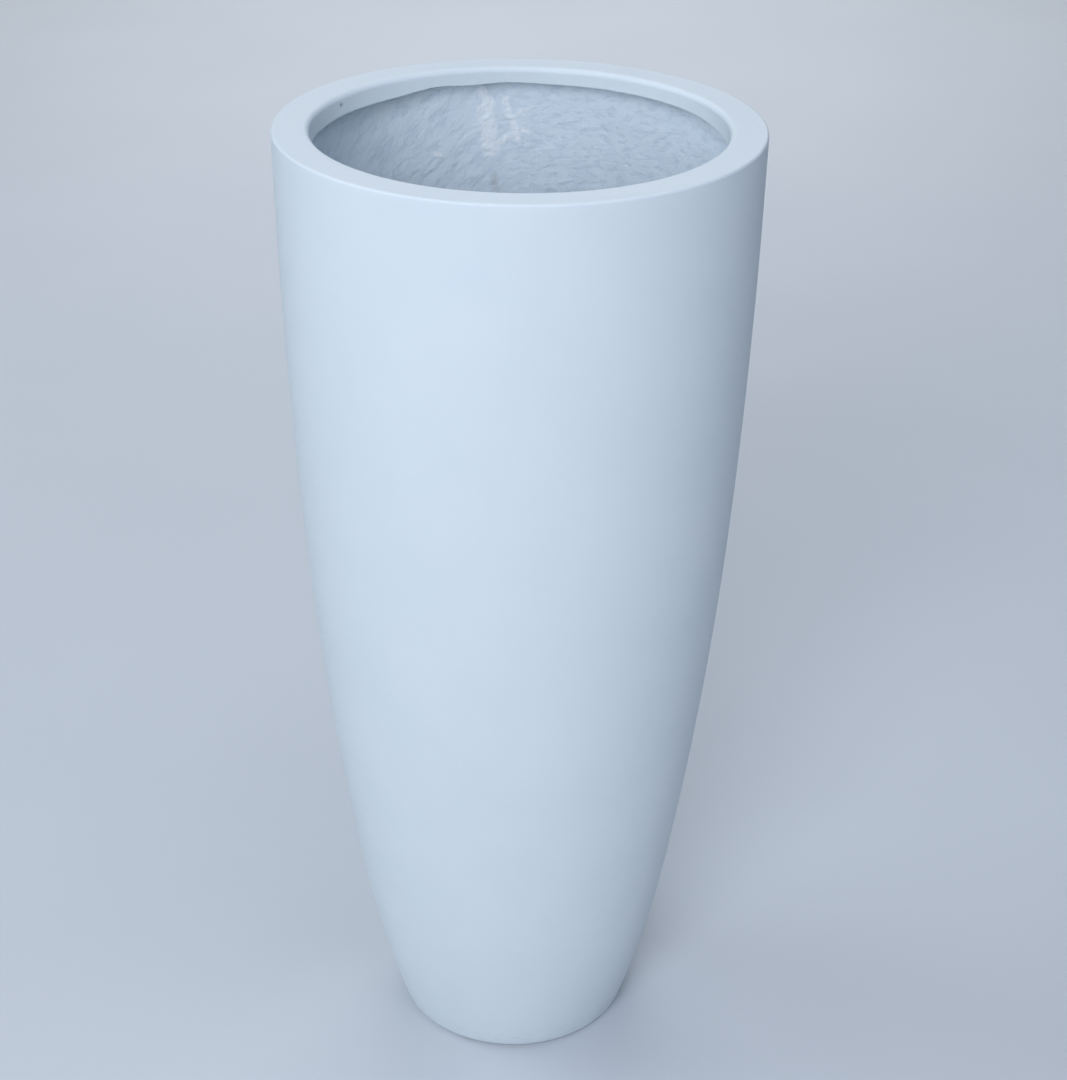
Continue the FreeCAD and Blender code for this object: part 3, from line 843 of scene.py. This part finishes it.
studio = {"floor": "#d6d9dc", "floorShade": "#d0d3d7", "floorPatch": 400, "floorRough": 0.75,
          "floorSize": 24, "floorMiddle": (0, 4, 0), "world": "#d3e2f4", "worldStrength": 0.05,
          # where a lamp points and how wide it spreads unless it says otherwise
          "aim": (0, 0, 0.45), "spread": 180,
          "lamps": {"leftLamp": {"from": (-2.81, 0.5, 2.1), "size": 2.2, "watts": 34, "colour": "#e2f0fc"},
                    "frontLamp": {"from": (-0.64, -2.87, 1.95), "size": 1.8, "watts": 72, "colour": "#e8f1ff"},
                    "topLamp": {"from": (0, -0.29, 3.74), "size": 2.2, "watts": 23, "colour": "#f0f4ff"},
                    "highLamp": {"from": (0.82, -1.43, 3.31), "size": 2.2, "watts": 12, "colour": "#e6efff"},
                    "rightLamp": {"from": (2.81, 0.5, 2.1), "size": 2.2, "watts": 15, "colour": "#c4ddff"},
                    "backLamp": {"from": (0, 2.33, 2.78), "size": 2.2, "watts": 22, "colour": "#f2f7ff"},
                    # lights the floor behind, so that it stays pale up to the picture's top
                    "floorLamp": {"from": (0, 4.6, 3.2), "size": 4.5, "watts": 62, "colour": "#eef3fa",
                                  "aim": (0, 4.6, 0), "spread": 110}}}


def makeFloor():
    bpy.ops.object.select_all(action="DESELECT")
    bpy.ops.mesh.primitive_plane_add(size=studio["floorSize"], location=studio["floorMiddle"])
    floor = bpy.context.object
    floor.name = "studioFloor"
    bpy.ops.object.transform_apply(location=True, rotation=True, scale=True)
    # plain and pale, with slow patches that are hardly seen
    material, tree, shader, place = startMaterial("paleFloor")
    cloud = noiseOf(tree, place, studio["floorPatch"], 2)
    tree.links.new(blended(tree, cloud, studio["floor"], studio["floorShade"]), shader.inputs["Base Color"])
    shader.inputs["Roughness"].default_value = studio["floorRough"]
    floor.data.materials.append(material)


def addLamp(name, values):
    bpy.ops.object.select_all(action="DESELECT")
    bpy.ops.object.light_add(type="AREA", location=values["from"])
    lamp = bpy.context.object
    lamp.name = name
    lamp.data.shape = "DISK"
    lamp.data.size = values["size"]
    lamp.data.energy = values["watts"]
    lamp.data.color = linear(values["colour"])[:3]
    lamp.data.spread = math.radians(values.get("spread", studio["spread"]))
    aim = Vector(values.get("aim", studio["aim"])) - Vector(values["from"])
    lamp.rotation_euler = aim.to_track_quat("-Z", "Y").to_euler()


def makeWorld():
    world = bpy.data.worlds.new("studioWorld")
    bpy.context.scene.world = world
    world.use_nodes = True
    back = world.node_tree.nodes["Background"]
    back.inputs["Color"].default_value = linear(studio["world"])
    back.inputs["Strength"].default_value = studio["worldStrength"]


makeFloor()
for lampName, lampValues in studio["lamps"].items():
    addLamp(lampName, lampValues)
makeWorld()
bpy.context.scene.view_settings.view_transform = "Standard"
print("studio set")

# a hand-held camera about 1.3 m up, looking down at the mouth
viewpoint = {"place": (0, -1.6736, 1.3185), "down": 27.225, "right": 0.4815, "tilt": 0.6895, "lens": 74.9,
             "sensor": 36, "farthest": 60}


def makeCamera():
    bpy.ops.object.select_all(action="DESELECT")
    bpy.ops.object.camera_add(location=viewpoint["place"])
    camera = bpy.context.object
    camera.name = "viewCamera"
    camera.data.lens = viewpoint["lens"]
    camera.data.sensor_width = viewpoint["sensor"]
    camera.data.clip_end = viewpoint["farthest"]
    aim = Matrix.Rotation(-math.radians(viewpoint["right"]), 4, "Z")
    aim = aim @ Matrix.Rotation(math.radians(90 - viewpoint["down"]), 4, "X")
    aim = aim @ Matrix.Rotation(math.radians(viewpoint["tilt"]), 4, "Z")
    camera.matrix_world = Matrix.Translation(viewpoint["place"]) @ aim
    bpy.context.scene.camera = camera


makeCamera()
print("camera set")
